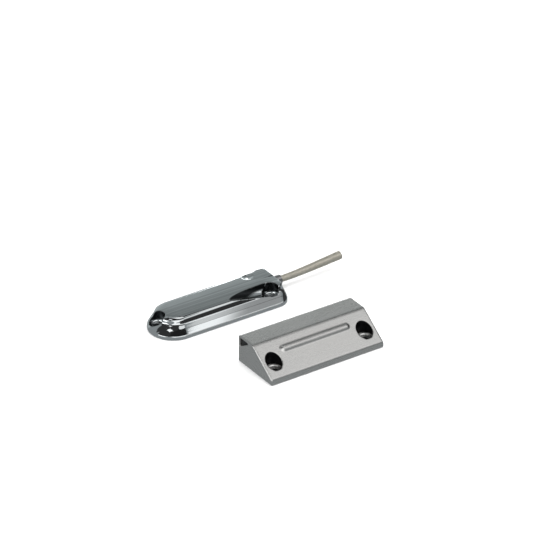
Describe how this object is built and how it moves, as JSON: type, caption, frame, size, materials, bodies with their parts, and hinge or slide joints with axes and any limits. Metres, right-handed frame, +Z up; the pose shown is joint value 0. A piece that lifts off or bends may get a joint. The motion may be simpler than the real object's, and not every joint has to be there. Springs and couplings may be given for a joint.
{
  "type": "roller shutter contact",
  "caption": "Surface-mounted magnetic contact for a roller shutter: low die-cast reed switch with armoured cable, and a wedge-shaped magnet unit.",
  "frame": {"origin": "centre of the floor area of the pair, on the plane that both feet stand on", "axes": "+X along both units towards the cable, +Y from the magnet unit towards the switch unit, +Z up off the mounting plane"},
  "size_m": [0.1401, 0.105, 0.0174],
  "materials": {
    "chrome_casting": "polished chrome plate on a zinc die-casting",
    "potting_resin": "cast dark resin, slightly uneven surface",
    "board_laminate": "green glass-fibre laminate",
    "reed_glass": "clear sealed glass",
    "soft_sleeve": "soft translucent sleeve",
    "reed_metal": "nickel-iron reed blades, plated contacts",
    "wire_red": "smooth insulation",
    "wire_black": "smooth insulation",
    "wire_yellow": "smooth insulation",
    "bare_copper": "tinned copper strands",
    "solder": "bright solder",
    "cable_jacket": "smooth grey jacket",
    "plated_steel": "bright plated steel",
    "cable_armour": "braided steel armour, slightly warm grey",
    "satin_sheet": "satin brushed sheet",
    "carrier_plastic": "moulded black plastic",
    "magnet_ferrite": "ground ferrite",
    "keeper_steel": "mild steel strip"
  },
  "bodies": {
    "root": {"switch_housing": "chrome_casting", "switch_potting": "potting_resin", "reed_board": "board_laminate", "reed_glass": "reed_glass", "reed_sleeve": "soft_sleeve", "reed_blade_nose": "reed_metal", "reed_blade_tail": "reed_metal", "feed_wire": "wire_red", "return_wire": "wire_black", "tamper_loop": "wire_yellow", "wire_ends": "bare_copper", "solder_joints": "solder", "cable_jacket": "cable_jacket", "cable_crimp": "plated_steel", "cable_ferrule": "plated_steel", "armoured_cable": "cable_armour", "magnet_cover": "satin_sheet", "magnet_carrier": "carrier_plastic", "bar_magnet_left": "magnet_ferrite", "bar_magnet_right": "magnet_ferrite", "keeper_plate": "keeper_steel", "magnet_potting": "potting_resin"}
  },
  "joints": []
}
